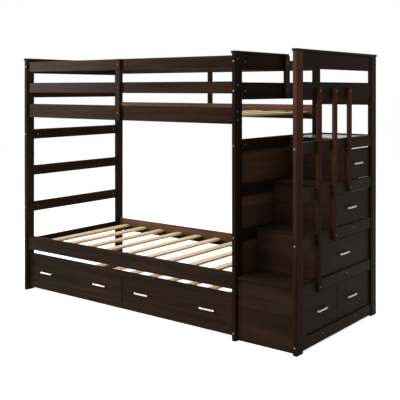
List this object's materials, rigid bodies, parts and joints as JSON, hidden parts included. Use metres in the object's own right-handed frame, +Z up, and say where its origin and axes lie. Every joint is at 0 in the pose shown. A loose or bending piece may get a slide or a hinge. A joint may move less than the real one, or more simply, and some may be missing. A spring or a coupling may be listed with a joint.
{
  "type": "bunk bed",
  "caption": "Dark brown wooden twin bunk bed with a storage stair of drawers at one end, pale slats and a pull-out trundle below.",
  "frame": {"origin": "middle of the bed's footprint, on the floor", "axes": "+X along the bed towards the stair, +Y from the open front to the back, +Z up"},
  "size_m": [2.4596, 1.085, 1.795],
  "materials": {
    "espresso_wood": "satin",
    "pale_slat_wood": "matte",
    "raw_wood": "matte",
    "satin_nickel": "satin",
    "zinc_steel": "satin",
    "caster_plastic": "matte"
  },
  "bodies": {
    "frame": {"post_left_front": "espresso_wood", "post_left_back": "espresso_wood", "post_mid_front": "espresso_wood", "post_mid_back": "espresso_wood", "post_stair_front": "espresso_wood", "post_stair_back": "espresso_wood", "end_caps": "espresso_wood", "end_top_boards": "espresso_wood", "end_guard_rails": "espresso_wood", "left_rungs": "espresso_wood", "inner_stair_rails": "espresso_wood", "outer_stair_rails": "espresso_wood", "stair_back_rails": "espresso_wood", "inner_panel": "espresso_wood", "front_guard_boards": "espresso_wood", "front_upper_rail": "espresso_wood", "front_lower_rail": "espresso_wood", "back_guard_boards": "espresso_wood", "back_upper_rail": "espresso_wood", "back_lower_rail": "espresso_wood", "guard_battens": "espresso_wood", "ledgers": "espresso_wood", "upper_slats": "pale_slat_wood", "lower_slats": "pale_slat_wood", "front_panel": "espresso_wood", "treads": "espresso_wood", "risers": "espresso_wood", "platform": "espresso_wood", "stiles": "espresso_wood", "balusters": "espresso_wood", "drawer_runners": "raw_wood", "bolts": "zinc_steel", "barrel_nuts": "zinc_steel", "screws": "zinc_steel"},
    "trundle": {"trundle_front": "espresso_wood", "trundle_frame": "espresso_wood", "trundle_slats": "pale_slat_wood", "trundle_handles": "satin_nickel", "caster_forks": "zinc_steel"},
    "wheel_front_left": {"wheel_front_left": "caster_plastic"},
    "wheel_front_right": {"wheel_front_right": "caster_plastic"},
    "wheel_back_left": {"wheel_back_left": "caster_plastic"},
    "wheel_back_right": {"wheel_back_right": "caster_plastic"},
    "drawer_top": {"drawer_top_front": "espresso_wood", "drawer_top_box": "raw_wood", "drawer_top_handle": "satin_nickel"},
    "drawer_third": {"drawer_third_front": "espresso_wood", "drawer_third_box": "raw_wood", "drawer_third_handle": "satin_nickel"},
    "drawer_second": {"drawer_second_front": "espresso_wood", "drawer_second_box": "raw_wood", "drawer_second_handle": "satin_nickel"},
    "drawer_left": {"drawer_left_front": "espresso_wood", "drawer_left_box": "raw_wood", "drawer_left_handle": "satin_nickel"},
    "drawer_right": {"drawer_right_front": "espresso_wood", "drawer_right_box": "raw_wood", "drawer_right_handle": "satin_nickel"}
  },
  "joints": [
    {"name": "trundle_slide", "type": "slide", "parent": "frame", "child": "trundle", "axis": [0, -1, 0], "range_m": [0, 0.95]},
    {"name": "wheel_front_left_spin", "type": "hinge", "parent": "trundle", "child": "wheel_front_left", "pos_m": [-1.05375, -0.4, 0.02], "axis": [1, 0, 0], "continuous": true},
    {"name": "wheel_front_right_spin", "type": "hinge", "parent": "trundle", "child": "wheel_front_right", "pos_m": [0.60525, -0.4, 0.02], "axis": [1, 0, 0], "continuous": true},
    {"name": "wheel_back_left_spin", "type": "hinge", "parent": "trundle", "child": "wheel_back_left", "pos_m": [-1.05375, 0.254, 0.02], "axis": [1, 0, 0], "continuous": true},
    {"name": "wheel_back_right_spin", "type": "hinge", "parent": "trundle", "child": "wheel_back_right", "pos_m": [0.60525, 0.254, 0.02], "axis": [1, 0, 0], "continuous": true},
    {"name": "drawer_top_slide", "type": "slide", "parent": "frame", "child": "drawer_top", "axis": [1, 0, 0], "range_m": [0, 0.3]},
    {"name": "drawer_third_slide", "type": "slide", "parent": "frame", "child": "drawer_third", "axis": [1, 0, 0], "range_m": [0, 0.3]},
    {"name": "drawer_second_slide", "type": "slide", "parent": "frame", "child": "drawer_second", "axis": [1, 0, 0], "range_m": [0, 0.3]},
    {"name": "drawer_left_slide", "type": "slide", "parent": "frame", "child": "drawer_left", "axis": [1, 0, 0], "range_m": [0, 0.3]},
    {"name": "drawer_right_slide", "type": "slide", "parent": "frame", "child": "drawer_right", "axis": [1, 0, 0], "range_m": [0, 0.3]}
  ],
  "couplings": [
    {"joint": "wheel_front_left_spin", "follows": "trundle_slide", "rad_per_m": 50},
    {"joint": "wheel_front_right_spin", "follows": "trundle_slide", "rad_per_m": 50},
    {"joint": "wheel_back_left_spin", "follows": "trundle_slide", "rad_per_m": 50},
    {"joint": "wheel_back_right_spin", "follows": "trundle_slide", "rad_per_m": 50}
  ]
}
